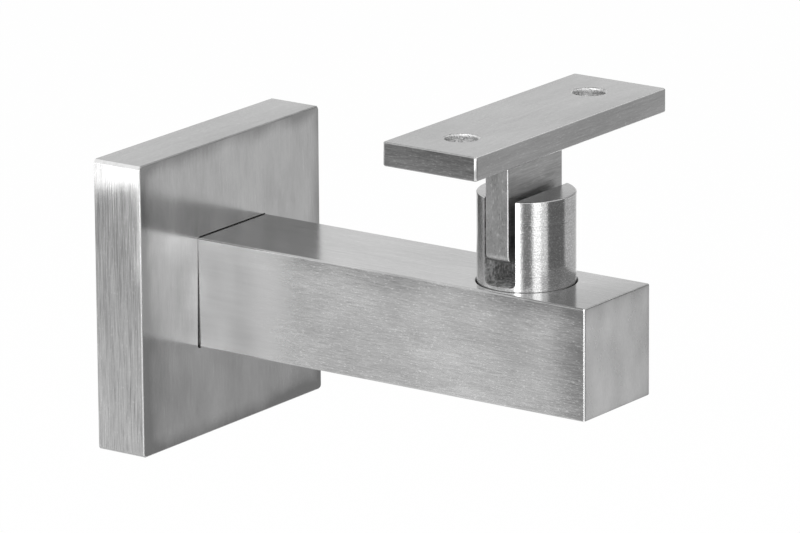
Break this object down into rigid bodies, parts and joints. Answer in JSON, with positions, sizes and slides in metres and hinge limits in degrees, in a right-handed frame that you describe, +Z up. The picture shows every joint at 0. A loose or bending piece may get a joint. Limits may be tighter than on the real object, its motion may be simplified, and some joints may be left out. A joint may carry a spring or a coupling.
{
  "type": "handrail bracket",
  "caption": "Wall handrail bracket: square rose and square arm, slotted swivel post, and a tilting flat saddle with screw holes for the rail.",
  "frame": {"origin": "middle of the square rose on the wall's surface", "axes": "+X away from the wall along the arm, +Z up through the post, +Y along the saddle"},
  "size_m": [0.115, 0.072, 0.0821],
  "materials": {
    "rose_steel": "satin, brushed upright",
    "arm_steel": "satin, brushed along the bar",
    "post_steel": "turned, fine rings",
    "saddle_steel": "satin, brushed along the plate",
    "plate_steel": "mill finish",
    "screw_steel": "bright steel screws and pins",
    "washer_nylon": "black nylon"
  },
  "bodies": {
    "bracket": {"mounting_plate": "plate_steel", "cover_rose": "rose_steel", "cover_grub_screw": "screw_steel", "arm": "arm_steel", "arm_bolt": "screw_steel", "arm_dowels": "screw_steel", "post_washer": "screw_steel"},
    "swivel": {"post": "post_steel", "post_screw": "screw_steel", "pivot_screw": "screw_steel", "tilt_washer": "washer_nylon"},
    "rail_saddle": {"saddle": "saddle_steel"}
  },
  "joints": [
    {"name": "post_swivel", "type": "hinge", "parent": "bracket", "child": "swivel", "pos_m": [0.0915, 0, 0.0125], "axis": [0, 0, 1], "continuous": true},
    {"name": "saddle_tilt", "type": "hinge", "parent": "swivel", "child": "rail_saddle", "pos_m": [0.0915, 0, 0.025], "axis": [1, 0, 0], "range_deg": [-45, 45]}
  ]
}
